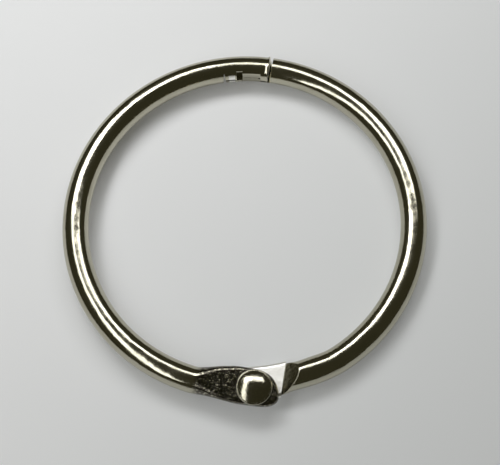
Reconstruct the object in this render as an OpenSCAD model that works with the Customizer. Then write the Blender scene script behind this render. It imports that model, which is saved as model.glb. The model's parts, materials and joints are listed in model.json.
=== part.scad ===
// Hinged binder ring: two half rings of plated steel wire that turn on one rivet
// and meet in a lapped catch. The ring lies flat, with its axis along Z and its
// centre at the origin. The rivet is at -Y and the catch near +Y.

/* [Ring] */
// Clear diameter inside the closed ring
ring_inside_d = 38; // [32:0.5:60]
// Diameter of the ring wire
wire_d = 3.2; // [3.1:0.05:3.8]

/* [Flattened ends] */
// Thickness of each flattened wire end
flat_t = 1.3; // [1:0.05:1.35]
// Width of each flattened wire end
flat_w = 4.4; // [4.3:0.1:5.4]
// Rounding along the edges of the flattened ends
edge_r = 0.45; // [0.2:0.05:0.5]
// How far the left flattened end runs past the rivet
left_reach = 2.65; // [2.3:0.05:3]
// How far the right flattened end runs past the rivet
right_reach = 2.4; // [2:0.1:2.8]
// How far the left flattened end sits outside the wire's line at the rivet
left_out = 0.25; // [0:0.05:0.3]
// How far the right flattened end sits inside the wire's line
right_inset = 0.35; // [0:0.05:0.4]
// Distance from the rivet to where the left wire starts to flatten
left_taper_start = 7.2; // [6.6:0.1:9]
// Distance along the wire from the left end's nose to the right end's shoulder
shoulder_gap = 0.65; // [0.5:0.05:1.5]
// Width of the right flattened end at its shoulder
right_shoulder_w = 4.1; // [3.8:0.1:4.4]
// How much wider than the wire the right half is behind its shoulder
right_spread = 0.3; // [0.1:0.05:0.5]
// Length of the sloping step from the shoulder to the top of the wire
step_len = 1.7; // [1.2:0.05:2.2]
// Turn of the shoulder and its step away from square
step_skew = 12; // [0:1:20]
// Distance from the rivet to where the right wire is back on the circle
right_set_end = 10.5; // [9:0.5:14]

/* [Rivet] */
// How far the rivet sits outside the wire's line
rivet_out = 0.4; // [0.2:0.05:0.6]
// Diameter of the rivet's shank
rivet_d = 1.9; // [1.5:0.1:2.2]
// Diameter of the rivet's head over its rim
head_d = 4.2; // [3.8:0.1:4.6]
// Thickness of the head's rim
rim_t = 0.35; // [0.2:0.05:0.4]
// Diameter of the dome on the head
dome_d = 3.8; // [2.8:0.1:3.8]
// Height of the dome above the rim
dome_h = 0.45; // [0.4:0.05:0.9]
// Diameter of the clenched tail
tail_d = 3; // [2.6:0.1:3.6]
// Height of the clenched tail
tail_h = 0.2; // [0.15:0.01:0.21]

/* [Catch] */
// Length of the lap from tip to tip
lap_len = 5.7; // [5:0.1:8]
// Distance along the wire from the point opposite the rivet to the lap's middle
lap_offset = 1.5; // [-3:0.1:3]
// Gap between each tip and the other half's shoulder
seam_gap = 0.35; // [0.2:0.05:0.6]
// Length of the lip at each tip
lip_len = 1; // [0.8:0.05:1.2]
// Length of the tooth beside each notch
tooth_len = 0.8; // [0.6:0.05:1]
// Depth of the notch and of the relief behind each lip
catch_depth = 0.2; // [0.15:0.05:0.6]
// How much of the wire's flank the relief takes away
flank_relief = 0.35; // [0.2:0.05:0.8]

/* [Clearances] */
// Gap between the two flattened ends, and between the two lapped tips
face_gap = 0.06; // [0.04:0.01:0.12]
// Gap under the rivet's head
head_gap = 0.05; // [0.02:0.01:0.1]
// Radial gap between the rivet and the left end that turns on it
turning_gap = 0.05; // [0.03:0.01:0.09]
// Radial gap between the rivet and the right end that holds it
held_gap = 0.02; // [0.01:0.01:0.03]

/* [Hidden] */

wire_r = wire_d / 2;
path_r = ring_inside_d / 2 + wire_r;
rivet_r = path_r + rivet_out;
face_z = face_gap / 2;
left_top_z = face_z + flat_t;
half_flat_w = flat_w / 2;
right_neck_w = wire_d + right_spread;
right_shoulder = left_reach + shoulder_gap;
nose_power = 2.6;
nose_last_angle = 86;
// The left wire's underside is lifted clear of all that the right flattened end sweeps.
sweep_gap = 0.2;
left_flat_len = norm([right_reach, half_flat_w + right_inset + rivet_out]) + sweep_gap;
left_full_width_at = 1.5;
// The round wire runs into a pressed end by this much, a little thinner there.
joint_overlap = 0.3;
joint_skin = 0.01;
core_r = wire_r - joint_skin;
neck_lap = 0.6;
lap_mid_angle = 90 - arc_angle(lap_offset);
lip_gap = 0.25;
cut_margin = 1;
section_points = 28;
taper_steps = 14;
nose_steps = 8;
body_steps = 6;
set_steps = 16;
$fn = 96;

plating = [0.70, 0.67, 0.60];

// Angle that a length along the wire's centre line covers
function arc_angle(length) = length / path_r * 180 / PI;
function mix(a, b, t) = a + (b - a) * t;
// Share of the way from one place to another, eased at both ends
function ease(from, to, at) = let (t = min(1, max(0, (at - from) / (to - from)))) t * t * (3 - 2 * t);

// A point at a length along the wire from the rivet, an offset outward and a height
function ring_point(along, out, z) =
    let (a = arc_angle(along) - 90)
    [(path_r + out) * cos(a), (path_r + out) * sin(a), z];

// A flattened wire's section: a bar with rounded edges.
// It is a circle where the rounding equals the half width and the half thickness.
function pressed_section(along, inset, half_w, low, high, rounding) =
    let (
        half_t = (high - low) / 2,
        mid = (high + low) / 2,
        r = min(rounding, half_w, half_t)
    )
    [for (i = [0 : section_points - 1])
        let (
            a = (i + 0.5) * 360 / section_points - 90,
            out = sign(cos(a)) * (half_w - r) + r * cos(a),
            up = sign(sin(a)) * (half_t - r) + r * sin(a)
        )
        ring_point(along, out - inset, mid + up)];

// How far the straight left end lies inside the circle on its way to the rivet
function left_inset(along) =
    let (from_taper = along + left_taper_start)
    -along * from_taper / (2 * path_r) - left_out * from_taper / left_taper_start;

// Half width of a rounded nose at a share of its reach
function nose_half_w(share) = half_flat_w * pow(1 - pow(share, nose_power), 1 / nose_power);

// Places along a nose, closer together towards its end, which is left a little blunt
function nose_share(i) = sin(nose_last_angle * i / nose_steps);

// Skin stretched over a row of sections with the same number of points
module loft(sections) {
    n = len(sections[0]);
    last = len(sections) - 1;
    points = [for (s = sections) each s];
    sides = [for (j = [0 : last - 1]) for (i = [0 : n - 1])
        let (k = (i + 1) % n)
        each [
            [j * n + i, j * n + k, (j + 1) * n + k],
            [j * n + i, (j + 1) * n + k, (j + 1) * n + i]
        ]];
    first_cap = [[for (i = [n - 1 : -1 : 0]) i]];
    last_cap = [[for (i = [0 : n - 1]) last * n + i]];
    polyhedron(points, concat(first_cap, sides, last_cap));
}

// Round wire along the circle between two angles
module wire_arc(from, to) {
    rotate([0, 0, from])
        rotate_extrude(angle = to - from)
            translate([path_r, 0])
                circle(r = wire_r);
}

// Left wire pressed flat and straight towards its rounded nose
module left_pressed_end() {
    taper = [for (i = [0 : taper_steps])
        let (
            along = mix(-left_taper_start, 0, i / taper_steps),
            wide = ease(-left_taper_start, -left_full_width_at, along),
            lifted = ease(-left_taper_start, -left_flat_len, along)
        )
        pressed_section(
            along,
            left_inset(along),
            mix(core_r, half_flat_w, wide),
            mix(-core_r, face_z, lifted),
            mix(core_r, left_top_z, wide),
            mix(core_r, edge_r, wide)
        )];
    nose = [for (i = [1 : nose_steps])
        let (along = left_reach * nose_share(i))
        pressed_section(
            along, left_inset(along), max(nose_half_w(nose_share(i)), edge_r), face_z, left_top_z, edge_r
        )];
    root = pressed_section(-left_taper_start - joint_overlap, 0, core_r, -core_r, core_r, core_r);
    loft(concat([root], taper, nose));
}

// Right wire's flat tongue, with a rounded nose at one end and a skewed shoulder at the other.
// Its inner edge runs straight on to the shoulder and its outer edge draws in.
module right_tongue() {
    nose = [for (i = [nose_steps : -1 : 1])
        pressed_section(
            -right_reach * nose_share(i),
            right_inset,
            max(nose_half_w(nose_share(i)), edge_r),
            -left_top_z,
            -face_z,
            edge_r
        )];
    body = [for (i = [0 : body_steps])
        let (
            along = (right_shoulder + cut_margin + flat_w * tan(step_skew)) * i / body_steps,
            half_w = mix(half_flat_w, right_shoulder_w / 2, min(1, along / right_shoulder))
        )
        pressed_section(along, right_inset + half_flat_w - half_w, half_w, -left_top_z, -face_z, edge_r)];
    difference() {
        loft(concat(nose, body));
        at_shoulder()
            translate([0, -flat_w, -wire_d])
                cube([2 * cut_margin + flat_w, 2 * flat_w, 2 * wire_d]);
    }
}

// Sets what it holds at the right end's shoulder, with X square to the shoulder's line
module at_shoulder() {
    translate([right_shoulder, -path_r, 0])
        rotate([0, 0, -step_skew])
            children();
}

// Right wire, set inward from the circle and spread sideways as it nears its tongue
module right_neck() {
    neck_root = right_shoulder - neck_lap - right_neck_w / 2 * tan(step_skew);
    steps = [for (i = [0 : set_steps])
        let (
            along = mix(neck_root, right_set_end, pow(i / set_steps, 2)),
            set = 1 - ease(right_shoulder + step_len, right_set_end, along),
            spread = 1 - ease(right_shoulder, right_shoulder + step_len, along)
        )
        pressed_section(
            along, right_inset * set, mix(core_r, right_neck_w / 2, spread), -core_r, core_r, core_r
        )];
    root = pressed_section(right_set_end + joint_overlap, 0, core_r, -core_r, core_r, core_r);
    difference() {
        loft(concat(steps, [root]));
        right_step_cut();
    }
}

// What the press takes off the right wire: a long slope above its tongue and a short one below.
// Both start a little inside the tongue.
module right_step_cut() {
    back = -neck_lap - 2 * cut_margin;
    over = wire_r + cut_margin;
    above = -face_z - joint_skin;
    below = joint_skin - left_top_z;
    run = step_len / (wire_r - above);
    at_shoulder()
        rotate([90, 0, 0])
            linear_extrude(height = 4 * wire_d, center = true) {
                polygon([[back, above], [0, above], [run * (over - above), over], [back, over]]);
                polygon([[back, below], [back, -over], [run * (over + below), -over], [0, below]]);
            }
}

// Sector of a square ring, between two lengths along the wire from the lap's middle.
// The middle is on +X and lengths run clockwise.
module lap_sector(from, to, inner, outer, low, high) {
    rotate([0, 0, -arc_angle(to)])
        rotate_extrude(angle = arc_angle(to - from))
            translate([inner, low])
                square([outer - inner, high - low]);
}

// What is cut from the left wire's tip to leave the upper half of the catch
module lap_cuts() {
    inner = path_r - wire_r - cut_margin;
    outer = path_r + wire_r + cut_margin;
    floor_z = -wire_r - cut_margin;
    relief_z = face_z + catch_depth;
    tip = lap_len / 2;
    shoulder = -tip - seam_gap;
    notch_end = -tip + lip_len + lip_gap;
    relief_start = notch_end + tooth_len;
    relief_end = tip - lip_len;
    lap_sector(shoulder, tip + cut_margin, inner, outer, floor_z, face_z);
    lap_sector(shoulder, notch_end, inner, outer, floor_z, relief_z);
    lap_sector(relief_start, relief_end, inner, outer, floor_z, relief_z);
    lap_sector(
        relief_start, relief_end, inner, path_r - wire_r + flank_relief, floor_z, wire_r + cut_margin
    );
}

// Hole for the rivet through a flattened end
module rivet_hole(gap) {
    translate([0, -rivet_r, 0])
        cylinder(r = rivet_d / 2 + gap, h = 4 * wire_d, center = true);
}

module left_half_ring() {
    color(plating)
        difference() {
            union() {
                wire_arc(lap_mid_angle - arc_angle(lap_len / 2), 270 - arc_angle(left_taper_start));
                left_pressed_end();
            }
            rotate([0, 0, lap_mid_angle])
                lap_cuts();
            rivet_hole(turning_gap);
        }
}

module right_half_ring() {
    color(plating)
        difference() {
            union() {
                wire_arc(arc_angle(right_set_end) - 90, lap_mid_angle + arc_angle(lap_len / 2));
                right_neck();
                right_tongue();
            }
            rotate([0, 0, lap_mid_angle])
                rotate([180, 0, 0])
                    lap_cuts();
            rivet_hole(held_gap);
        }
}

// Cap of a sphere, standing on its base circle
module dome(base_d, height) {
    ball_r = (base_d * base_d / 4 + height * height) / (2 * height);
    intersection() {
        translate([0, 0, height - ball_r])
            sphere(r = ball_r);
        cylinder(d = base_d, h = height);
    }
}

module hinge_rivet() {
    head_z = left_top_z + head_gap;
    color(plating)
        translate([0, -rivet_r, 0]) {
            translate([0, 0, -left_top_z])
                cylinder(d = rivet_d, h = left_top_z + head_z);
            translate([0, 0, head_z])
                cylinder(d = head_d, h = rim_t);
            translate([0, 0, head_z + rim_t])
                dome(dome_d, dome_h);
            translate([0, 0, -left_top_z])
                rotate([180, 0, 0])
                    dome(tail_d, tail_h);
        }
}

left_half_ring();
right_half_ring();
hinge_rivet();
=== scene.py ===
"""Hinged binder ring of nickel-plated wire: two half rings, their rivet and a plain studio."""

import json
import math

import bmesh
import bpy
import numpy as np
from bpy.props import FloatProperty, FloatVectorProperty, PointerProperty
from bpy.types import Operator, Panel, PropertyGroup
from mathutils import Matrix, Vector


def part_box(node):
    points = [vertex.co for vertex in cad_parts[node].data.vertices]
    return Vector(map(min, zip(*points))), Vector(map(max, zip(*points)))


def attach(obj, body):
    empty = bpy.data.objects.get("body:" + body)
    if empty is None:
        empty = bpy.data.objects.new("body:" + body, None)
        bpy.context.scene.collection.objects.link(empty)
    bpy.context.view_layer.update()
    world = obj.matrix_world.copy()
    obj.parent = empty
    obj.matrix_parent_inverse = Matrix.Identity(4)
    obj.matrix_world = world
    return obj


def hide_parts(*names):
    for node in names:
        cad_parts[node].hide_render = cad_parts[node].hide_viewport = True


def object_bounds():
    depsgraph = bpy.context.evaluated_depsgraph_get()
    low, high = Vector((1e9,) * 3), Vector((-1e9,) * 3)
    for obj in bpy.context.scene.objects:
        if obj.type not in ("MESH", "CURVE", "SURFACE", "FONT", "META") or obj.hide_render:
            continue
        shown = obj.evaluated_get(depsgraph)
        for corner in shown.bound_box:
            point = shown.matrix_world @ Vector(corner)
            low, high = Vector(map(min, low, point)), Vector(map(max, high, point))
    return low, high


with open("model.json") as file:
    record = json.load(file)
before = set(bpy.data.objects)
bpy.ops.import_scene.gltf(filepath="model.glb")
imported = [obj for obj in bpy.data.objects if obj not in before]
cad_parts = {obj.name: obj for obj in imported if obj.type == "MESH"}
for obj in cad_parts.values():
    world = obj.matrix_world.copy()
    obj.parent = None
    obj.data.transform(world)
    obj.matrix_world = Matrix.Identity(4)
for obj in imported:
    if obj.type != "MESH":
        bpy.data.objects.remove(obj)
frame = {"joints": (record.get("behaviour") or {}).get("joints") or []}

bl_info = {
    "name": "Hinged Binder Ring",
    "version": (1, 0, 0),
    "blender": (4, 5, 0),
    "location": "3D View > Sidebar > Binder Ring",
    "description": "Builds a plated wire binder ring with a riveted hinge and a lapped catch",
    "category": "Add Mesh",
}

MM = 0.001
CAD_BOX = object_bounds()
LEFT_LOW, LEFT_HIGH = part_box("left_half_ring")
RIGHT_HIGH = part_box("right_half_ring")[1]
RIVET_LOW, RIVET_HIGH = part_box("hinge_rivet")
HINGE = next(j for j in frame["joints"] if j["name"] == "ring_opening")

WIRE_R = (LEFT_HIGH.z - LEFT_LOW.z) / 2
PATH_R = min(RIGHT_HIGH.x, -LEFT_LOW.x) - WIRE_R
RIVET_R = -HINGE["pos_m"][1]
RIVET_HEAD_R = (RIVET_HIGH.x - RIVET_LOW.x) / 2

# Points in a row, rows of the rounded shapes, and steps between the rows along a wire.
PROFILE_POINTS = 128
REVOLVE_POINTS = 128
NOSE_ROWS = 48
DOME_ROWS = 48
TAIL_ROWS = 24
RIM_ROWS = 8
COARSE_STEP = 0.35 * MM
FINE_STEP = 0.07 * MM
EDGE_STEP = 0.012 * MM
LEAST_STEP = EDGE_STEP / 4
EDGE_SPAN = 0.09 * MM
MERGE_DISTANCE = 1e-8

# Finish of the edges: run of a wall and of a worn corner, how far a cut end's rim is drawn in, and
# the shares of the rows that close it. The rubbed flank and the burr start at shares of the wire's
# radius, outward from its middle.
WALL_RAMP = 0.05 * MM
EDGE_WEAR = 0.06 * MM
END_WEAR = 0.12
END_ROWS = (0.7, 0.35, 0.0)
RUBBED_SIDE = (-0.78, -0.86)
BURR_SIDE = 0.5

# Flattened ends: power of the nose's superellipse, how far fine rows run past the taper, run-in of
# the press's grain and of the painted shade on the pressed faces, and where the slant is full, as a
# share of the way to the shoulder, and ends.
NOSE_POWER = 2.6
TAPER_MARGIN = 1 * MM
PRESS_FADE = 1 * MM
SLANT_FULL = 1 / 3
SLANT_MARGIN = 0.6 * MM

# Rivet's head: power of the dome, the rim's rounding as a share of its thickness, and how far the
# rim's flat keeps from that rounding and from the dome, as a share of the rounding.
DOME_POWER = 2.2
RIM_EDGE = 0.45
RIM_MARGIN = 0.2

LAY_ATTRIBUTE = "wire_lay"
PRESS_ATTRIBUTE = "pressed"
SATIN_ATTRIBUTE = "satin"

# Noises in the plating: scale on each axis per millimetre, detail and roughness.
LINES = ((0.10, 3.4, 3.4), 3, 0.6)
WAVES = ((0.55, 0.7, 0.7), 1.5, 0.5)
SPECKS = ((5.5, 6.5, 6.5), 2, 0.6)
GRAIN = ((3.0, 3.4, 3.4), 4, 0.62)
CLOUD = ((0.35, 1.1, 1.1), 4, 0.6)

# Values of those noises between which each mark comes in or fades.
PIT_RANGE = (0.60, 0.74)
# The painted shade on the pressed faces is full where the press's grain is low and fades where it
# rises, which leaves specks of the plating's own colour.
PAINTED_SHADE_RANGE = (0.49, 0.66)
STAIN_RANGE = (0.48, 0.72)
ROUGH_RANGE = (0.35, 0.70)

# Heights of the marks in millimetres, and how much of the press's grain other faces have.
LINE_HEIGHT = 0.006
WAVE_HEIGHT = 0.035
PIT_HEIGHT = -0.0012
GRAIN_HEIGHT = 0.041
SATIN_GRAIN = 0.3
WIRE_GRAIN = 0.12
# The rivet takes this share of the press's grain, and as much of the painted shade.
RIVET_PRESSED = 0.2

# Roughness of the plating, what pits and rubbing add to it, and the shares of the stain.
PLATE_ROUGHNESS = (0.10, 0.16)
PIT_ROUGHNESS = 0.05
SATIN_ROUGHNESS = 0.26
CLOUD_STAIN = 0.55
PIT_STAIN = 0.35

MARKS = "plating_marks"
MARK_INPUTS = {
    "Place": "NodeSocketVector",
    "Pressed": "NodeSocketFloat",
    "Satin": "NodeSocketFloat",
}
# The shade output is painted shade: it darkens the pressed faces, standing in for the dim room that
# their flat tops mirror.
MARK_OUTPUTS = ("Height", "Roughness", "Stain", "Painted Shade", "Bare")

# Places of a colour Mix node's sockets.
MIX_SHARE, MIX_FIRST, MIX_SECOND, MIX_RESULT = 0, 6, 7, 2

# Floor: its half width and fall, the side that is lightest, its gloss, and its glow from the near
# right to the far left and far away. The glow and the floor's colour are painted light: the glow
# lifts the floor and the ring's shadows most at the near right, where the colour is darker so that
# the lit floor stays level, which leaves the shadows deep at the far left.
FLOOR_REACH = 1.0
FLOOR_SLOPE = 0.025
FLOOR_FALL = math.radians(160)
FLOOR_LIGHT_TURN = math.radians(142)
FLOOR_LIGHT_SIDE = (math.cos(FLOOR_LIGHT_TURN), math.sin(FLOOR_LIGHT_TURN), 0)
FLOOR_FADE = 32 * MM
FLOOR_SPECULAR = 0.1
FLOOR_CLOUD = {"Scale": 90, "Detail": 3}
FLOOR_CLOUD_RANGE = (0.3, 0.7)
FLOOR_ROUGHNESS = (0.55, 0.7)
FLOOR_SHADOW_LIFT = (0.25, 0.08)
FAR_GLOW = 0.45
GLOW_RUN = (45 * MM, 160 * MM)

CAMERA_AIM = Vector((0.62 * MM, -1.58 * MM, 0))
CAMERA_TURN = math.radians(0.33)

# Level panels: name, middle and size in panel heights, turn in degrees, radiance.
LAMP_HEIGHT = 0.13
LAMPS = (
    ("far_panel", (-0.37, 0.64), (0.68, 0.44), -8, 6.3),
    ("side_panel", (-0.76, -0.49), (0.32, 2.20), -19, 3.1),
    ("back_panel", (0.36, 0.59), (0.68, 0.36), 2, 3.9),
)


def length(name, description, default):
    """Property for a size in metres."""
    return FloatProperty(
        name=name, description=description, default=default, unit="LENGTH", precision=5
    )


def tilt(name, description, degrees):
    """Property for an angle, given in degrees."""
    return FloatProperty(
        name=name, description=description, default=math.radians(degrees), subtype="ANGLE"
    )


def colour(name, description, default):
    """Property for a linear colour."""
    return FloatVectorProperty(
        name=name, description=description, default=default, subtype="COLOR", size=3, min=0, max=1
    )


class RingSizes(PropertyGroup):
    path_r: length("Ring radius", "Radius of the circle that the wire's middle follows", PATH_R)
    wire_r: length("Wire radius", "Radius of the round wire", WIRE_R)
    face_z: length("Half face gap", "Half the gap between the lapped halves", 0.03 * MM)


class HingeSizes(PropertyGroup):
    flat_t: length("Flat thickness", "Thickness of each flattened wire end", 1.3 * MM)
    flat_w: length("Flat width", "Width of each flattened wire end", 4.4 * MM)
    edge_r: length("Edge rounding", "Rounding along the edges of the flat ends", 0.45 * MM)
    left_reach: length("Left reach", "How far the left end runs past the rivet", 2.65 * MM)
    right_reach: length("Right reach", "How far the right end runs past the rivet", 2.4 * MM)
    left_out: length(
        "Left outset", "How far the left end sits outside the wire's line at the rivet", 0.24 * MM
    )
    right_inset: length(
        "Right inset", "How far the right end sits inside the wire's line", 0.35 * MM
    )
    left_taper: length(
        "Left taper", "Distance from the rivet to where the left wire flattens", 7.2 * MM
    )
    left_full: length(
        "Left full width", "Distance from the rivet to the left end's full width", 1.5 * MM
    )
    left_flat: length(
        "Left flat length", "Distance from the rivet that the left underside is flat", 4.01 * MM
    )
    press_run: length(
        "Press run", "Length over which the press dents the top of the left wire", 2.6 * MM
    )
    press_slope: tilt("Press slope", "Slope of the left end's top, down towards its nose", 1.6)
    shoulder: length("Shoulder", "Distance from the rivet to the right end's shoulder", 3.3 * MM)
    shoulder_w: length("Shoulder width", "Width of the right end at its shoulder", 4.1 * MM)
    spread: length(
        "Spread", "How much wider than the wire the right half is behind its shoulder", 0.3 * MM
    )
    step_len: length(
        "Step length", "Length of the slope from the shoulder to the top of the wire", 1.7 * MM
    )
    set_end: length(
        "Set end", "Distance from the rivet to where the right wire is on the circle", 10.5 * MM
    )
    skew: tilt("Skew", "Turn of the shoulder away from square", 12)
    tip: tilt("Tip", "Slope of the right end's top, down towards its inner edge", 2.5)


class CatchSizes(PropertyGroup):
    lap_len: length("Lap length", "Length of the lap from tip to tip", 5.7 * MM)
    lap_offset: length(
        "Lap offset", "Distance from the point opposite the rivet to the lap's middle", 1.5 * MM
    )
    seam_gap: length("Seam gap", "Gap between each tip and the other half's shoulder", 0.35 * MM)
    lip_len: length("Lip length", "Length of the lip at each tip", 1 * MM)
    lip_gap: length("Lip gap", "Gap between a lip and the tooth beside it", 0.25 * MM)
    tooth_len: length("Tooth length", "Length of the tooth beside each notch", 0.8 * MM)
    depth: length("Catch depth", "Depth of the notch under each lip", 0.2 * MM)
    slot: length(
        "Seam depth", "How much deeper than the notch the seam between the halves runs", 0.9 * MM
    )
    flank: length(
        "Flank relief", "How much of the flank is drawn in between the two lips", 0.35 * MM
    )
    hook_len: length(
        "Hook length", "Length of the right half's lip, up to the hollow beside it", 1.5 * MM
    )
    hollow_len: length("Hollow length", "Length of the hollow in the left half's flank", 0.8 * MM)
    hollow: length("Hollow depth", "How far the hollow in the left flank runs in", 0.6 * MM)
    flare: length("Tip flare", "How far the left tip's sheared edge stands proud", 0.06 * MM)
    burr: length("Tip burr", "How far the burr outside the left tip stands out", 0.12 * MM)


class RivetSizes(PropertyGroup):
    shank_r: length("Shank radius", "Radius of the rivet's shank", 0.95 * MM)
    head_r: length("Head radius", "Radius of the head over its rim", RIVET_HEAD_R)
    rim_t: length("Rim thickness", "Thickness of the head's rim", 0.35 * MM)
    dome_r: length("Dome radius", "Radius of the dome's foot", 1.9 * MM)
    dome_h: length("Dome height", "Height of the dome above the rim", 0.45 * MM)
    tail_r: length("Tail radius", "Radius of the clenched tail", 1.5 * MM)
    tail_h: length("Tail height", "Height of the clenched tail", 0.2 * MM)
    hole_gap: length("Hole gap", "Radial gap between the shank and the flat ends", 0.05 * MM)


class PlatingLook(PropertyGroup):
    bright: colour("Bright nickel", "Colour of the clean plating", (0.47, 0.45, 0.36))
    dull: colour("Dull nickel", "Colour of the stained or pitted plating", (0.36, 0.34, 0.255))
    bare: colour("Bare metal", "Colour of the ground and sheared faces", (0.93, 0.92, 0.88))
    # This dark colour is painted shade on the pressed faces, standing in for the dim room that
    # their flat tops mirror.
    painted_shade: colour("Press smut", "Colour of the film that the press leaves", (0.10, 0.092, 0.075))


class StageLook(PropertyGroup):
    # The two floor colours go with the painted glow: the darker near right, with more glow, gets
    # pale painted shadows, and the lighter far left, with less glow, keeps deep ones.
    floor_far: colour("Floor, far side", "Colour of the floor at its far left", (0.83, 0.84, 0.85))
    floor_near: colour(
        "Floor, near side", "Colour of the floor at its near right", (0.66, 0.675, 0.68)
    )
    surround: colour("Surround", "Colour of the dim room around the ring", (0.048, 0.045, 0.026))
    camera_distance: length("Camera distance", "Distance from the camera to its aim", 150 * MM)
    camera_elevation: tilt("Camera elevation", "Angle of the camera above the floor", 70.4)
    camera_roll: tilt("Camera roll", "Turn of the camera about its own line of sight", -3.84)
    camera_lens: FloatProperty(
        name="Lens", description="Focal length of the camera in millimetres", default=88.9, min=1
    )


def ease(low, high, at):
    """Share of the way from low to high, level at both ends: three t squared less two t cubed."""
    t = np.clip((at - low) / (high - low), 0, 1)
    return t * t * (3 - 2 * t)


def mix(a, b, share):
    """Value a share of the way from a to b."""
    return a + (b - a) * share


def soft_max(a, b, blend):
    """The larger of two, with the corner between them filled by a quarter of the blend length."""
    near = np.maximum(blend - np.abs(a - b), 0) / blend
    return np.maximum(a, b) + near * near * blend / 4


def soft_min(a, b, blend):
    """The smaller of two, with the corner between them cut by a quarter of the blend length."""
    return -soft_max(-a, -b, blend)


def window(start, end, at):
    """One between two places and nought outside, with a short eased wall at each end."""
    return ease(start - WALL_RAMP, start, at) * (1 - ease(end, end + WALL_RAMP, at))


def bar_profile(half_w, half_t, rounding):
    """Section of a bar with rounded edges, as offsets sideways and upward, evenly spaced by length.

    From the middle of a side, a quarter runs up the flat side, round the edge's arc and along the
    flat top, and the other quarters mirror it. It is a circle where the rounding equals both half
    measures.
    """
    turn = (np.arange(PROFILE_POINTS) + 0.5) / PROFILE_POINTS * 4
    quarter = np.floor(turn).astype(int)
    share = np.where(quarter % 2 == 0, turn - quarter, 1 - turn + quarter)
    outward = np.where((quarter == 0) | (quarter == 3), 1, -1)
    upward = np.where(quarter < 2, 1, -1)
    r = np.minimum(rounding, np.minimum(half_w, half_t))
    side = half_t - r
    edge_run = r * math.pi / 2
    run = share * (side + edge_run + half_w - r)
    bend = np.clip((run - side) / np.maximum(r, MERGE_DISTANCE), 0, math.pi / 2)
    out = half_w - r + r * np.cos(bend) - np.maximum(run - side - edge_run, 0)
    up = np.minimum(run, side) + r * np.sin(bend)
    return outward * out, upward * up


def stations(spans, edges):
    """Places along a wire, in order.

    They are evenly spaced over each span of (from, to, step), and close together at each edge.
    """
    fine = [(e - EDGE_SPAN, e + EDGE_SPAN, EDGE_STEP) for e in edges]
    rows = [np.linspace(a, b, math.ceil((b - a) / step) + 1) for a, b, step in [*spans, *fine]]
    low, high = spans[0][0], spans[-1][1]
    places = np.unique(np.concatenate(rows))
    places = places[(places >= low) & (places <= high)]
    return places[np.diff(places, prepend=-math.inf) > LEAST_STEP]


def nose_places(reach):
    """Places on a rounded nose, closer together at its end: minus the reach times a cosine."""
    return -reach * np.cos(np.linspace(0, math.pi / 2, NOSE_ROWS))


def nose_width(d, reach):
    """Share of the full width that is left on a rounded nose, which is a superellipse."""
    past = np.clip(-d / reach, 0, 1)
    return (1 - past**NOSE_POWER) ** (1 / NOSE_POWER)


def nose_wear(d, reach, edge_r):
    """How much of each face the rounding at a nose's end takes off, as a quarter circle."""
    over = np.clip((-d - reach + edge_r) / edge_r, 0, 1)
    return edge_r * (1 - np.sqrt(1 - over**2))


def capped(places):
    """Adds rows at the tip that close its end, with how far each row is drawn in to its middle."""
    tip = places[-1]
    over = np.clip((places - tip + EDGE_SPAN) / EDGE_SPAN, 0, 1)
    worn = 1 - END_WEAR * (1 - np.sqrt(1 - over**2))
    return np.append(places, np.full(len(END_ROWS), tip)), np.append(worn, END_ROWS)


def lap_edges(catch):
    """Lengths from the lap's middle, towards the tip, of the catch's steps.

    They are the shoulder, the ends of the notch and of the tooth, the start of the lip and the tip.
    """
    tip = catch.lap_len / 2
    shoulder = -tip - catch.seam_gap
    notch_end = -tip + catch.lip_len + catch.lip_gap
    return shoulder, notch_end, notch_end + catch.tooth_len, tip - catch.lip_len, tip


def wire_rows(reach, worked_end, lap_middle, catch, edges):
    """Places along a half ring from nose to tip, as a column, and how far each row is drawn in.

    The rows are fine on the worked end at the hinge and on the lap, finer still at the steps of the
    catch, at the seam's groove and at the edges given, and coarse between them.
    """
    half_lap = catch.lap_len / 2
    lap_start = lap_middle - half_lap - catch.seam_gap
    spans = [
        (-reach, worked_end, FINE_STEP),
        (worked_end, lap_start, COARSE_STEP),
        (lap_start, lap_middle + half_lap, FINE_STEP),
    ]
    groove = -(catch.lap_len + catch.seam_gap) / 2
    steps = [lap_middle + e for e in (*lap_edges(catch), -half_lap, groove)]
    wire = stations(spans, [*steps, *edges])[1:]
    places, drawn = capped(np.concatenate([nose_places(reach), wire]))
    drawn = np.where(places > lap_start, drawn, 1)
    order = np.argsort(places, kind="stable")
    return places[order][:, None], drawn[order][:, None]


def lap_cut(from_middle, out, z, ring, catch, hollows):
    """Upper half of the catch cut from round wire.

    Heights are held above a floor that lies at the lap's face, higher in the notch and in the
    seam's groove. Points below the floor keep within the circle's width at that height. In a
    hollow, given as its start, its end and its depth, the inner flank is held back.
    """
    shoulder, notch_end, *_ = lap_edges(catch)
    uncut = -2 * ring.wire_r
    floor = mix(uncut, ring.face_z, ease(shoulder - WALL_RAMP, shoulder, from_middle))
    floor = floor + catch.depth * window(shoulder, notch_end, from_middle)
    half_gap = catch.seam_gap / 2
    from_seam = np.abs(from_middle - shoulder - half_gap) / half_gap
    floor = floor + catch.slot * np.maximum(1 - from_seam, 0)
    inner = np.full_like(from_middle, uncut)
    for start, end, depth in hollows:
        hollow = mix(uncut, depth - ring.wire_r, window(start, end, from_middle))
        inner = np.maximum(inner, hollow)
    half_w = np.sqrt(ring.wire_r**2 - np.clip(floor, 0, ring.wire_r) ** 2)
    out = np.where(z < floor, np.clip(out, -half_w, half_w), out)
    return soft_max(out, inner, EDGE_WEAR), soft_max(z, floor, EDGE_WEAR)


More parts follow.
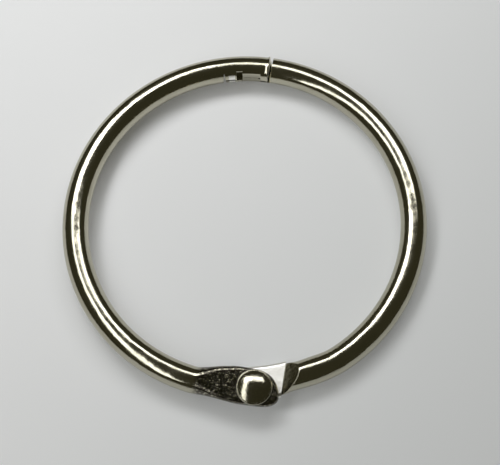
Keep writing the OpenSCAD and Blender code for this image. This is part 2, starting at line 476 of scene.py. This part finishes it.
def rubbed(from_middle, out, ring, catch):
    """Bright patch that the lips rub on the inner flank.

    It is one around the lower lip and nought elsewhere.
    """
    start = catch.lap_len / 2 - catch.hook_len + catch.lip_gap
    low, high = (share * ring.wire_r for share in RUBBED_SIDE)
    return window(start, start + catch.tooth_len, from_middle) * ease(low, high, out)


def tip_flare(from_middle, out, z, ring, catch):
    """Sheared edge of the left tip.

    Its section swells from the lap's face upward over the last of the lip, and a burr stands out
    on its outer side.
    """
    tip = catch.lap_len / 2
    swell = ease(tip - catch.lip_len / 2, tip - EDGE_SPAN, from_middle) * catch.flare / ring.wire_r
    burr = ease(tip - catch.seam_gap, tip, from_middle)
    burr = burr * ease(BURR_SIDE * ring.wire_r, ring.wire_r, out)
    return out * (1 + swell) + catch.burr * burr, ring.face_z + (z - ring.face_z) * (1 + swell)


def draw_in(out, z, ring, share):
    """Section of the lap drawn in towards its middle."""
    middle_z = (ring.face_z + ring.wire_r) / 2
    return out * share, middle_z + (z - middle_z) * share


def wire_lay(d, out, z):
    """Place on the wire as if it were pulled straight, in millimetres: along, outward and up."""
    return np.stack([np.broadcast_to(d, z.shape), out, z], -1) / MM


def left_half_surface(ring, hinge, catch):
    """Left half ring as a profile carried round the circle from its nose to its tip.

    The round section is pressed to a flat bar and widened as it nears the rivet, follows a
    straight chord there and ends in a nose whose width is a superellipse. At the other end it is
    cut for the lap.
    """
    lap_middle = math.pi * ring.path_r + catch.lap_offset
    hollow_start = catch.hook_len - catch.lap_len / 2
    hollow_end = hollow_start + catch.hollow_len
    edges = (lap_middle + hollow_start, lap_middle + hollow_end)
    worked_end = hinge.left_taper + TAPER_MARGIN
    d, drawn = wire_rows(hinge.left_reach, worked_end, lap_middle, catch, edges)

    wide = ease(hinge.left_taper, hinge.left_full, d)
    lifted = ease(hinge.left_taper, hinge.left_flat, d)
    dented = ease(hinge.left_taper, hinge.left_taper - hinge.press_run, d)
    half_w = mix(ring.wire_r, hinge.flat_w / 2, wide) * nose_width(d, hinge.left_reach)
    low = mix(-ring.wire_r, ring.face_z, lifted)
    slope = math.tan(hinge.press_slope)
    pressed_z = ring.face_z + hinge.flat_t + slope * (d - RIVET_HEAD_R)
    high = mix(ring.wire_r, pressed_z, dented)
    half_t = (high - low) / 2 - nose_wear(d, hinge.left_reach, hinge.edge_r)
    out, up = bar_profile(half_w, half_t, mix(ring.wire_r, hinge.edge_r, wide))
    before_rivet = np.maximum(hinge.left_taper - d, 0)
    chord = d * before_rivet / (2 * ring.path_r)
    inset = chord - hinge.left_out * before_rivet / hinge.left_taper
    out, z = out - inset, up + (high + low) / 2

    hollows = (
        (hollow_start, hollow_end, catch.hollow),
        (hollow_end, catch.lap_len / 2 - catch.lip_len, catch.flank),
    )
    out, z = lap_cut(d - lap_middle, out, z, ring, catch, hollows)
    out, z = tip_flare(d - lap_middle, out, z, ring, catch)
    out, z = draw_in(out, z, ring, drawn)

    angle = -d / ring.path_r - math.pi / 2
    reach = ring.path_r + out
    points = np.stack([reach * np.cos(angle), reach * np.sin(angle), z], -1)
    pressed = ease(hinge.left_taper, hinge.left_taper - PRESS_FADE, d)
    tip = lap_middle + catch.lap_len / 2
    sheared = ease(tip - EDGE_SPAN, tip, d)
    satin = np.maximum(sheared, rubbed(lap_middle - d, out, ring, catch))
    return points, wire_lay(d, out, z), pressed, satin


def right_half_surface(ring, hinge, catch):
    """Right half ring as a profile carried round the circle from its nose to its tip.

    The sections turn from radial to the shoulder's own slant and back. Up to the shoulder they are
    a flat tongue. Behind it they are round wire, held under a plane that slopes up from the
    tongue's top and above one that slopes down from its underside.
    """
    lap_middle = math.pi * ring.path_r - catch.lap_offset
    hook = catch.lap_len / 2 - catch.hook_len
    relief = (catch.lip_len - catch.lap_len / 2, hook - catch.hollow_len)
    edges = (hinge.shoulder, *(lap_middle + e for e in (hook, *relief)))
    d, drawn = wire_rows(hinge.right_reach, hinge.set_end, lap_middle, catch, edges)

    crest = hinge.shoulder + hinge.step_len
    slanted = ease(-hinge.right_reach, SLANT_FULL * hinge.shoulder, d)
    slanted = slanted * (1 - ease(crest + SLANT_MARGIN, hinge.set_end, d))
    slant = slanted * (hinge.skew + d / ring.path_r)
    angle = d / ring.path_r - math.pi / 2
    middle = ring.path_r * np.stack([np.cos(angle), np.sin(angle)], -1)
    across = np.array([math.cos(hinge.skew), -math.sin(hinge.skew)])
    past_shoulder = (middle - np.array([hinge.shoulder, -ring.path_r])) @ across
    past_shoulder = np.where(d < hinge.set_end, past_shoulder, hinge.set_end)

    top, bottom = -ring.face_z, -ring.face_z - hinge.flat_t
    drawn_in = np.clip(d / hinge.shoulder, 0, 1)
    tongue_w = mix(hinge.flat_w, hinge.shoulder_w, drawn_in) / 2
    tongue_w = tongue_w * nose_width(d, hinge.right_reach)
    tongue_t = hinge.flat_t / 2 - nose_wear(d, hinge.right_reach, hinge.edge_r)
    tongue_out, tongue_up = bar_profile(tongue_w, tongue_t, hinge.edge_r)
    on_top = ease(-hinge.flat_t / 4, hinge.flat_t / 4, tongue_up)
    dip = math.tan(hinge.tip) * (tongue_w - tongue_out) * on_top
    tongue_z = tongue_up + (top + bottom) / 2 - dip
    inset = hinge.right_inset + drawn_in * (hinge.flat_w - hinge.shoulder_w) / 2
    tongue_out = tongue_out - inset

    spread = hinge.spread / 2 * (1 - ease(hinge.shoulder, crest, d))
    neck_out, neck_z = bar_profile(ring.wire_r + spread, ring.wire_r, ring.wire_r)
    neck_out = neck_out - hinge.right_inset * (1 - ease(crest, hinge.set_end, d))
    rise = np.maximum(past_shoulder, 0) * (ring.wire_r - top) / hinge.step_len
    neck_z = soft_min(neck_z, top + rise, EDGE_WEAR)
    neck_z = soft_max(neck_z, bottom - rise, EDGE_WEAR)

    flat = 1 - ease(-WALL_RAMP / 2, WALL_RAMP / 2, past_shoulder)
    out, z = mix(neck_out, tongue_out, flat), mix(neck_z, tongue_z, flat)
    out, lower = lap_cut(d - lap_middle, out, -z, ring, catch, [(*relief, catch.flank)])
    out, lower = draw_in(out, lower, ring, drawn)
    z = -lower

    side = np.stack([np.cos(angle - slant), np.sin(angle - slant)], -1)
    flat_points = middle + (out / np.cos(slant))[..., None] * side
    points = np.concatenate([flat_points, z[..., None]], -1)
    satin = np.maximum(flat, rubbed(d - lap_middle, out, ring, catch))
    return points, wire_lay(d, out, z), 0 * flat, satin


def arc(middle_r, middle_z, r, start, end, count):
    """Points on an arc in the plane of radius and height, between two angles in degrees."""
    a = np.radians(np.linspace(start, end, count))
    return np.stack([middle_r + r * np.cos(a), middle_z + r * np.sin(a)], -1)


def turned(profile):
    """Surface of a profile of radii and heights, a row for each, turned about the rivet's axis."""
    turn = np.linspace(0, 2 * math.pi, REVOLVE_POINTS, endpoint=False)
    radius, z = profile[:, :1], np.broadcast_to(profile[:, 1:], (len(profile), len(turn)))
    return np.stack([radius * np.cos(turn), radius * np.sin(turn) - RIVET_R, z], -1)


def rivet_surface(ring, hinge, rivet):
    """Rivet turned from one profile: tail dome, shank, flat rim with rounded edges, and head dome.

    The tail is part of a ball. The head's height falls off with a power of the distance from its
    axis.
    """
    flat = ring.face_z + hinge.flat_t
    rim_top = RIVET_HIGH.z - rivet.dome_h
    head_z = rim_top - rivet.rim_t
    edge = rivet.rim_t * RIM_EDGE
    tail_ball = (rivet.tail_r**2 + rivet.tail_h**2) / (2 * rivet.tail_h)
    tail_angle = math.degrees(math.asin(rivet.tail_r / tail_ball))
    rim_start, rim_end = rivet.head_r - (1 + RIM_MARGIN) * edge, rivet.dome_r + RIM_MARGIN * edge
    share = np.sin(np.linspace(math.pi / 2, 0, DOME_ROWS))
    dome_z = rim_top + rivet.dome_h * (1 - share**DOME_POWER)
    profile = np.concatenate([
        arc(0, -flat - rivet.tail_h + tail_ball, tail_ball, -90, -90 + tail_angle, TAIL_ROWS),
        np.array([[rivet.shank_r, -flat], [rivet.shank_r, head_z]]),
        arc(rivet.head_r - edge, head_z + edge, edge, -90, 0, RIM_ROWS),
        arc(rivet.head_r - edge, rim_top - edge, edge, 0, 90, RIM_ROWS),
        np.array([[rim_start, rim_top], [rim_end, rim_top]]),
        np.stack([rivet.dome_r * share, dome_z], -1),
    ])
    return turned(profile)


def closed_mesh(name, points, attributes):
    """Mesh over rows of points.

    Each row is a closed loop, and rows that shrink to a point close the ends.
    """
    rows, columns = points.shape[:2]
    index = np.arange(rows * columns).reshape(rows, columns)
    after = np.roll(index, -1, axis=1)
    quads = np.stack([index[:-1], index[1:], after[1:], after[:-1]], -1).reshape(-1, 4)
    mesh = bpy.data.meshes.new(name)
    mesh.from_pydata(points.reshape(-1, 3), [], quads)
    for label, kind, field, values in attributes:
        data = mesh.attributes.new(label, kind, "POINT").data
        data.foreach_set(field, np.ascontiguousarray(values, dtype=np.float32).ravel())
    work = bmesh.new()
    work.from_mesh(mesh)
    bmesh.ops.remove_doubles(work, verts=work.verts, dist=MERGE_DISTANCE)
    bmesh.ops.recalc_face_normals(work, faces=work.faces)
    work.to_mesh(mesh)
    work.free()
    mesh.shade_smooth()
    return mesh


def placed(context, name, mesh, material):
    """Object at the origin that shows a mesh in one material."""
    piece = bpy.data.objects.new(name, mesh)
    mesh.materials.clear()
    mesh.materials.append(material)
    context.scene.collection.objects.link(piece)
    return piece


def drill(context, piece, radius):
    """Cuts the rivet's hole through a piece with an upright cylinder and keeps the cut mesh."""
    end = 2 * WIRE_R
    walls = turned(np.array([[0, -end], [radius, -end], [radius, end], [0, end]]))
    cutter = bpy.data.objects.new("hole_cutter", closed_mesh("hole_cutter", walls, []))
    context.scene.collection.objects.link(cutter)
    cut = piece.modifiers.new("rivet_hole", "BOOLEAN")
    cut.operation = "DIFFERENCE"
    cut.solver = "EXACT"
    cut.object = cutter
    context.view_layer.update()
    solid = piece.evaluated_get(context.evaluated_depsgraph_get())
    drilled = bpy.data.meshes.new_from_object(solid)
    piece.modifiers.clear()
    piece.data = drilled
    bpy.data.meshes.remove(cutter.data)


def add_node(tree, kind, inputs=None, **settings):
    """Shader node with its settings and unlinked input values."""
    node = tree.nodes.new(kind)
    for key, value in settings.items():
        setattr(node, key, value)
    for key, value in (inputs or {}).items():
        node.inputs[key].default_value = value
    return node


def feed(tree, socket, value):
    """Links a socket to another one, or sets it to a plain number or colour."""
    if isinstance(value, bpy.types.NodeSocket):
        tree.links.new(value, socket)
    else:
        socket.default_value = value


def scaled_noise(tree, place, scale, detail, roughness):
    """Noise on a place that is stretched by its own scale on each axis."""
    stretch = add_node(tree, "ShaderNodeVectorMath", {1: scale}, operation="MULTIPLY")
    tree.links.new(place, stretch.inputs[0])
    settings = {"Scale": 1, "Detail": detail, "Roughness": roughness}
    noise = add_node(tree, "ShaderNodeTexNoise", settings)
    tree.links.new(stretch.outputs[0], noise.inputs["Vector"])
    return noise.outputs[0]


def ranged(tree, value, low, high, to_low=0.0, to_high=1.0):
    """Value carried smoothly from one range to another and held within it."""
    node = add_node(
        tree, "ShaderNodeMapRange",
        {"From Min": low, "From Max": high, "To Min": to_low, "To Max": to_high},
        interpolation_type="SMOOTHSTEP",
    )
    tree.links.new(value, node.inputs["Value"])
    return node.outputs[0]


def computed(tree, operation, *values):
    """Math node on sockets and plain numbers."""
    node = add_node(tree, "ShaderNodeMath", operation=operation)
    for socket, value in zip(node.inputs, values):
        feed(tree, socket, value)
    return node.outputs[0]


def mixed(tree, share, first, second):
    """Colour a share of the way from the first to the second, each a socket or a plain colour."""
    node = add_node(tree, "ShaderNodeMix", data_type="RGBA")
    for place, value in ((MIX_SHARE, share), (MIX_FIRST, first), (MIX_SECOND, second)):
        feed(tree, node.inputs[place], value)
    return node.outputs[MIX_RESULT]


def plating_marks():
    """Shared marks in the plating.

    They are drawing lines along the wire, slow waves, pits, stains, the press's grain, and painted
    shade on the pressed faces, which stands in for the dim room that their flat tops mirror.
    The height is in millimetres, and the other outputs are masks and a roughness.
    """
    group = bpy.data.node_groups.new(MARKS, "ShaderNodeTree")
    for label, kind in MARK_INPUTS.items():
        group.interface.new_socket(label, in_out="INPUT", socket_type=kind)
    for label in MARK_OUTPUTS:
        group.interface.new_socket(label, in_out="OUTPUT", socket_type="NodeSocketFloat")
    start, end = add_node(group, "NodeGroupInput"), add_node(group, "NodeGroupOutput")
    place, pressed, satin = (start.outputs[label] for label in MARK_INPUTS)

    lines, waves, specks, grain, cloud = (
        scaled_noise(group, place, *noise) for noise in (LINES, WAVES, SPECKS, GRAIN, CLOUD)
    )
    pits = ranged(group, specks, *PIT_RANGE)

    height = computed(group, "MULTIPLY", lines, LINE_HEIGHT)
    height = computed(group, "MULTIPLY_ADD", waves, WAVE_HEIGHT, height)
    height = computed(group, "MULTIPLY_ADD", pits, PIT_HEIGHT, height)
    coarse = computed(group, "MULTIPLY_ADD", satin, SATIN_GRAIN, pressed)
    coarse = computed(group, "MULTIPLY", computed(group, "ADD", coarse, WIRE_GRAIN), grain)
    height = computed(group, "MULTIPLY_ADD", coarse, GRAIN_HEIGHT, height)

    rough = ranged(group, cloud, *ROUGH_RANGE, *PLATE_ROUGHNESS)
    rough = computed(group, "MULTIPLY_ADD", pits, PIT_ROUGHNESS, rough)
    rough = computed(group, "MULTIPLY_ADD", satin, SATIN_ROUGHNESS, rough)

    stain = computed(group, "MULTIPLY", ranged(group, cloud, *STAIN_RANGE), CLOUD_STAIN)
    stain = computed(group, "MULTIPLY_ADD", pits, PIT_STAIN, stain)
    # Painted shade: dark on the pressed faces where the grain is low, standing in for the dim room
    # that the flats mirror.
    painted_shade = computed(group, "MULTIPLY", pressed, ranged(group, grain, *PAINTED_SHADE_RANGE, 1, 0))
    for label, value in zip(MARK_OUTPUTS, (height, rough, stain, painted_shade, satin)):
        group.links.new(value, end.inputs[label])
    return group


def plated_material(name, look):
    """Nickel plate: a metal whose colour, roughness and bump follow the shared marks.

    Returns the marks' node too, so that its inputs can be fed.
    """
    material = bpy.data.materials.new(name)
    material.use_nodes = True
    tree = material.node_tree
    shader = tree.nodes["Principled BSDF"]
    shader.inputs["Metallic"].default_value = 1
    marks = bpy.data.node_groups.get(MARKS) or plating_marks()
    worn = add_node(tree, "ShaderNodeGroup", node_tree=marks)
    tone = mixed(tree, worn.outputs["Stain"], (*look.bright, 1), (*look.dull, 1))
    # The painted shade darkens the pressed faces towards their dark colour.
    tone = mixed(tree, worn.outputs["Painted Shade"], tone, (*look.painted_shade, 1))
    tone = mixed(tree, worn.outputs["Bare"], tone, (*look.bare, 1))
    bump = add_node(tree, "ShaderNodeBump", {"Strength": 1, "Distance": MM})
    tree.links.new(worn.outputs["Height"], bump.inputs["Height"])
    tree.links.new(tone, shader.inputs["Base Color"])
    tree.links.new(worn.outputs["Roughness"], shader.inputs["Roughness"])
    tree.links.new(bump.outputs["Normal"], shader.inputs["Normal"])
    return material, worn


def wire_plating(look):
    """Plating of the half rings, laid along the wire by the mesh's own attributes."""
    material, worn = plated_material("wire_plating", look)
    tree = material.node_tree
    for attribute, output, label in (
        (LAY_ATTRIBUTE, "Vector", "Place"),
        (PRESS_ATTRIBUTE, "Fac", "Pressed"),
        (SATIN_ATTRIBUTE, "Fac", "Satin"),
    ):
        node = add_node(tree, "ShaderNodeAttribute", attribute_name=attribute)
        tree.links.new(node.outputs[output], worn.inputs[label])
    return material


def rivet_plating(look):
    """Plating of the rivet, on its own place in millimetres from the rivet's axis."""
    material, worn = plated_material("rivet_plating", look)
    tree = material.node_tree
    place = add_node(tree, "ShaderNodeTexCoord")
    centred = add_node(
        tree, "ShaderNodeMapping", {"Location": (0, RIVET_R / MM, 0), "Scale": (1 / MM,) * 3}
    )
    worn.inputs["Pressed"].default_value = RIVET_PRESSED
    tree.links.new(place.outputs["Object"], centred.inputs["Vector"])
    tree.links.new(centred.outputs["Vector"], worn.inputs["Place"])
    return material


def floor_material(look):
    """Pale floor that is lighter on its far left, with a faint cloud in its gloss.

    It glows a little to the eye, more to the near right and far away from the ring. The glow is
    painted light that lifts the ring's shadows at the near right, where the floor's colour is
    darker so that the lit floor stays level.
    """
    material = bpy.data.materials.new("pale_floor")
    material.use_nodes = True
    tree = material.node_tree
    shader = tree.nodes["Principled BSDF"]
    shader.inputs["Specular IOR Level"].default_value = FLOOR_SPECULAR
    place = add_node(tree, "ShaderNodeTexCoord")
    along = add_node(tree, "ShaderNodeVectorMath", {1: FLOOR_LIGHT_SIDE}, operation="DOT_PRODUCT")
    away = add_node(tree, "ShaderNodeVectorMath", operation="LENGTH")
    cloud = add_node(tree, "ShaderNodeTexNoise", FLOOR_CLOUD)
    for socket in (along.inputs[0], away.inputs[0], cloud.inputs["Vector"]):
        tree.links.new(place.outputs["Object"], socket)

    # Painted light: the colour darkens and the glow grows towards the near right, so that the
    # ring's shadows there are paler than at the far left.
    far_left = ranged(tree, along.outputs["Value"], -FLOOR_FADE, FLOOR_FADE)
    tone = mixed(tree, far_left, (*look.floor_near, 1), (*look.floor_far, 1))
    shadow_lifting_glow = ranged(tree, along.outputs["Value"], -FLOOR_FADE, FLOOR_FADE, *FLOOR_SHADOW_LIFT)
    far_glow = ranged(tree, away.outputs["Value"], *GLOW_RUN, 0, FAR_GLOW)
    rays = add_node(tree, "ShaderNodeLightPath")
    seen = computed(tree, "ADD", rays.outputs["Is Camera Ray"], rays.outputs["Is Glossy Ray"])
    seen = computed(tree, "ADD", seen, rays.outputs["Is Transmission Ray"])
    glow = computed(tree, "MULTIPLY", seen, computed(tree, "ADD", shadow_lifting_glow, far_glow))
    rough = ranged(tree, cloud.outputs[0], *FLOOR_CLOUD_RANGE, *FLOOR_ROUGHNESS)
    tree.links.new(tone, shader.inputs["Base Color"])
    tree.links.new(tone, shader.inputs["Emission Color"])
    tree.links.new(glow, shader.inputs["Emission Strength"])
    tree.links.new(rough, shader.inputs["Roughness"])
    return material


def half_ring(context, name, surface):
    """Half ring's object from its surface, drilled for the rivet."""
    scene = context.scene
    ring, hinge, catch = scene.binder_ring, scene.binder_hinge, scene.binder_catch
    points, lay, pressed, satin = surface(ring, hinge, catch)
    attributes = [
        (LAY_ATTRIBUTE, "FLOAT_VECTOR", "vector", lay),
        (PRESS_ATTRIBUTE, "FLOAT", "value", np.broadcast_to(pressed, lay.shape[:2])),
        (SATIN_ATTRIBUTE, "FLOAT", "value", np.broadcast_to(satin, lay.shape[:2])),
    ]
    material = bpy.data.materials.get("wire_plating") or wire_plating(scene.binder_plating)
    piece = placed(context, name, closed_mesh(name, points, attributes), material)
    drill(context, piece, scene.binder_rivet.shank_r + scene.binder_rivet.hole_gap)
    return piece


def add_floor(context, look):
    """Flat square floor under the ring, as a grid of four corners.

    It falls away a little to the far left.
    """
    side = np.array([-FLOOR_REACH, FLOOR_REACH])
    x, y = np.meshgrid(side, side)
    from_near = x * math.cos(FLOOR_FALL) + y * math.sin(FLOOR_FALL) + PATH_R
    corners = np.stack([x, y, CAD_BOX[0].z - FLOOR_SLOPE * from_near], -1).reshape(-1, 3)
    mesh = bpy.data.meshes.new("floor")
    mesh.from_pydata(corners, [], np.array([[0, 1, 3, 2]]))
    floor = placed(context, "floor", mesh, floor_material(look))


def add_lamps(context):
    """Soft level panels over the ring. A panel's power is its radiance times pi times its area."""
    for name, middle, size, turn, radiance in LAMPS:
        data = bpy.data.lights.new(name, "AREA")
        data.shape = "RECTANGLE"
        data.size, data.size_y = (LAMP_HEIGHT * side for side in size)
        data.energy = radiance * math.pi * data.size * data.size_y
        lamp = bpy.data.objects.new(name, data)
        lamp.location = LAMP_HEIGHT * Vector((*middle, 1))
        lamp.rotation_euler.z = math.radians(turn)
        context.scene.collection.objects.link(lamp)


def add_camera(context, look):
    """Camera above the near side of the ring, turned a little about its line of sight."""
    flat, steep = math.cos(look.camera_elevation), math.sin(look.camera_elevation)
    back = Vector((math.sin(CAMERA_TURN) * flat, -math.cos(CAMERA_TURN) * flat, steep))
    level = Vector((math.cos(CAMERA_TURN), math.sin(CAMERA_TURN), 0))
    right = Matrix.Rotation(look.camera_roll, 3, back) @ level
    axes = Matrix((right, back.cross(right), back)).transposed()
    place = CAMERA_AIM + back * look.camera_distance
    data = bpy.data.cameras.new("camera")
    data.lens = look.camera_lens
    data.clip_start = MM
    camera = bpy.data.objects.new("camera", data)
    camera.matrix_world = Matrix.Translation(place) @ axes.to_4x4()
    context.scene.collection.objects.link(camera)
    context.scene.camera = camera


class BINDER_OT_left_half(Operator):
    """Build the left half ring, whose pressed end lies on top at the hinge"""

    bl_idname = "binder.left_half"
    bl_label = "Left Half Ring"

    def execute(self, context):
        piece = half_ring(context, "left_half", left_half_surface)
        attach(piece, "left_half")
        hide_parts("left_half_ring")
        return {"FINISHED"}


class BINDER_OT_right_half(Operator):
    """Build the right half ring, whose stepped tongue lies below at the hinge"""

    bl_idname = "binder.right_half"
    bl_label = "Right Half Ring"

    def execute(self, context):
        piece = half_ring(context, "right_half", right_half_surface)
        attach(piece, "right_half")
        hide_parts("right_half_ring")
        return {"FINISHED"}


class BINDER_OT_rivet(Operator):
    """Build the domed rivet of the hinge"""

    bl_idname = "binder.rivet"
    bl_label = "Hinge Rivet"

    def execute(self, context):
        scene = context.scene
        points = rivet_surface(scene.binder_ring, scene.binder_hinge, scene.binder_rivet)
        mesh = closed_mesh("rivet", points, [])
        piece = placed(context, "rivet", mesh, rivet_plating(scene.binder_plating))
        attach(piece, "right_half")
        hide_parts("hinge_rivet")
        return {"FINISHED"}


class BINDER_OT_stage(Operator):
    """Build the pale floor, the soft lamps, the dim surround and the camera"""

    bl_idname = "binder.stage"
    bl_label = "Studio"

    def execute(self, context):
        scene = context.scene
        look = scene.binder_stage
        add_floor(context, look)
        add_lamps(context)
        add_camera(context, look)
        scene.world = scene.world or bpy.data.worlds.new("surround")
        scene.world.use_nodes = True
        background = scene.world.node_tree.nodes["Background"]
        background.inputs["Color"].default_value = (*look.surround, 1)
        scene.view_settings.view_transform = "Standard"
        return {"FINISHED"}


class VIEW3D_PT_binder_ring(Panel):
    """Sizes, finish and build buttons of the binder ring"""

    bl_label = "Binder Ring"
    bl_space_type = "VIEW_3D"
    bl_region_type = "UI"
    bl_category = "Binder Ring"

    def draw(self, context):
        for name in GROUPS:
            box = self.layout.box()
            settings = getattr(context.scene, name)
            for prop in settings.bl_rna.properties:
                if not prop.is_readonly and prop.identifier != "name":
                    box.prop(settings, prop.identifier)
        for operator in OPERATORS:
            self.layout.operator(operator.bl_idname)


GROUPS = {
    "binder_ring": RingSizes,
    "binder_hinge": HingeSizes,
    "binder_catch": CatchSizes,
    "binder_rivet": RivetSizes,
    "binder_plating": PlatingLook,
    "binder_stage": StageLook,
}
OPERATORS = (BINDER_OT_stage, BINDER_OT_left_half, BINDER_OT_right_half, BINDER_OT_rivet)
CLASSES = (*GROUPS.values(), *OPERATORS, VIEW3D_PT_binder_ring)


def register():
    for cls in CLASSES:
        bpy.utils.register_class(cls)
    for name, group in GROUPS.items():
        setattr(bpy.types.Scene, name, PointerProperty(type=group))


def unregister():
    for name in GROUPS:
        delattr(bpy.types.Scene, name)
    for cls in reversed(CLASSES):
        bpy.utils.unregister_class(cls)


def main():
    register()
    bpy.ops.binder.stage()
    bpy.ops.binder.left_half()
    bpy.ops.binder.right_half()
    bpy.ops.binder.rivet()


if __name__ == "__main__":
    main()
